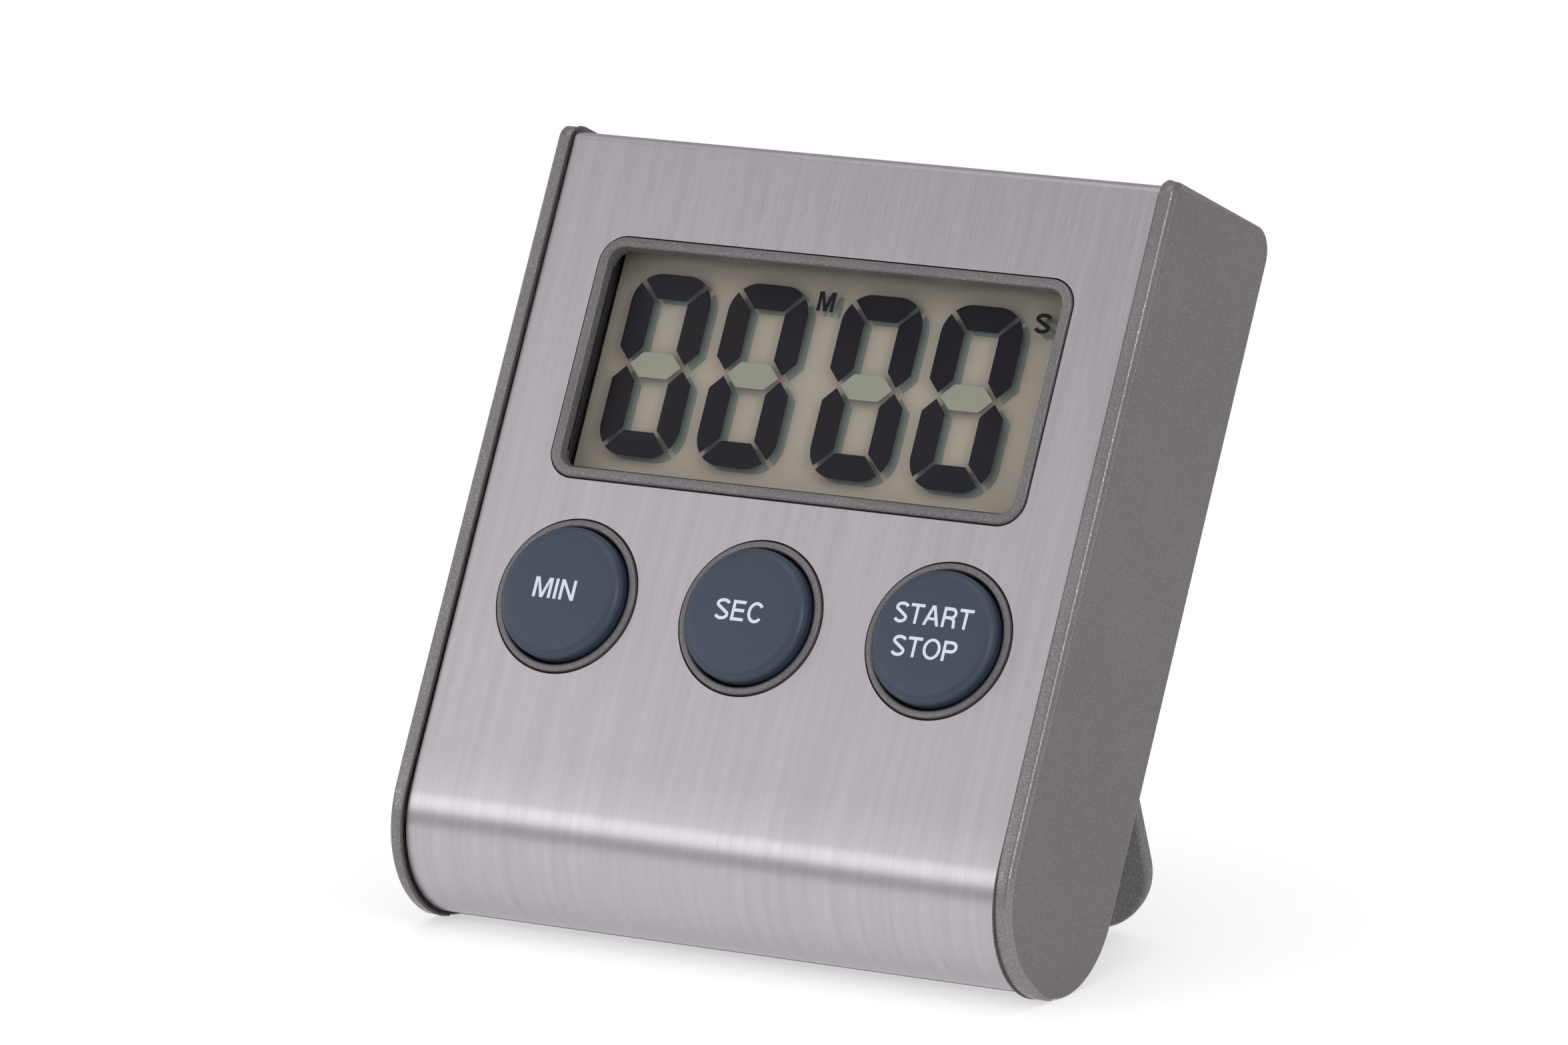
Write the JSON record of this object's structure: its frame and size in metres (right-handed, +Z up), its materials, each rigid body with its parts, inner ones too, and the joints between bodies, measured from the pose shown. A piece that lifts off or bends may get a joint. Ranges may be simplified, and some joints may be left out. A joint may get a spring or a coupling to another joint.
{
  "type": "digital kitchen timer",
  "caption": "Countdown timer leaning back on a fold-out rear flap: steel front cover, liquid crystal display, push buttons, end caps, cell bay.",
  "frame": {"origin": "centre of the footprint, on the surface the timer stands on", "axes": "+X to the timer's right as its face is read, +Y away from the reader, +Z up; the face looks towards -Y and up"},
  "size_m": [0.063, 0.0456, 0.0682],
  "materials": {
    "brushed_steel": "vertical brushed grain",
    "cap_plastic": "fine metallic grey texture",
    "frame_plastic": "fine metallic grey texture",
    "housing_plastic": "coarse matte texture",
    "button_plastic": "satin slate blue",
    "clear_plastic": "clear",
    "lcd_glass": "clear with polariser",
    "reflector": "matte olive grey",
    "elastomer": "soft",
    "board": "solder mask",
    "black_plastic": "satin",
    "plated_metal": "nickel plated",
    "cell_wrap": "printed wrap"
  },
  "bodies": {
    "case": {"front_cover": "brushed_steel", "left_end_cap": "cap_plastic", "right_end_cap": "cap_plastic", "front_frame": "frame_plastic", "rear_housing": "housing_plastic", "display_window": "clear_plastic", "lcd_glass": "lcd_glass", "lcd_reflector": "reflector", "zebra_strip": "elastomer", "circuit_board": "board", "chip_blob": "black_plastic", "crystal": "plated_metal", "sounder": "black_plastic", "battery": "cell_wrap", "battery_contact": "plated_metal", "battery_spring": "plated_metal", "magnet_left": "plated_metal", "magnet_right": "plated_metal", "board_screw_left": "plated_metal", "board_screw_right": "plated_metal", "switch_minutes": "black_plastic", "switch_seconds": "black_plastic", "switch_start_stop": "black_plastic", "case_screw_top_left": "plated_metal", "case_screw_top_right": "plated_metal", "case_screw_bottom_left": "plated_metal", "case_screw_bottom_right": "plated_metal"},
    "button_minutes": {"button_minutes": "button_plastic"},
    "button_seconds": {"button_seconds": "button_plastic"},
    "button_start_stop": {"button_start_stop": "button_plastic"},
    "battery_door": {"battery_door": "housing_plastic"},
    "stand": {"stand": "housing_plastic"}
  },
  "joints": [
    {"name": "button_minutes_press", "type": "slide", "parent": "case", "child": "button_minutes", "axis": [0, 0.8926, -0.4509], "range_m": [0, 0.0008], "stiffness_N_per_m": 1500, "springref_m": -0.0003},
    {"name": "button_seconds_press", "type": "slide", "parent": "case", "child": "button_seconds", "axis": [0, 0.8926, -0.4509], "range_m": [0, 0.0008], "stiffness_N_per_m": 1500, "springref_m": -0.0003},
    {"name": "button_start_stop_press", "type": "slide", "parent": "case", "child": "button_start_stop", "axis": [0, 0.8926, -0.4509], "range_m": [0, 0.0008], "stiffness_N_per_m": 1500, "springref_m": -0.0003},
    {"name": "stand_hinge", "type": "hinge", "parent": "case", "child": "stand", "pos_m": [0, 0.00204, 0.02128], "axis": [1, 0, 0], "range_deg": [-48, 0]},
    {"name": "battery_door_lift", "type": "slide", "parent": "case", "child": "battery_door", "axis": [0, 0.8926, -0.4509], "range_m": [0, 0.012]}
  ]
}
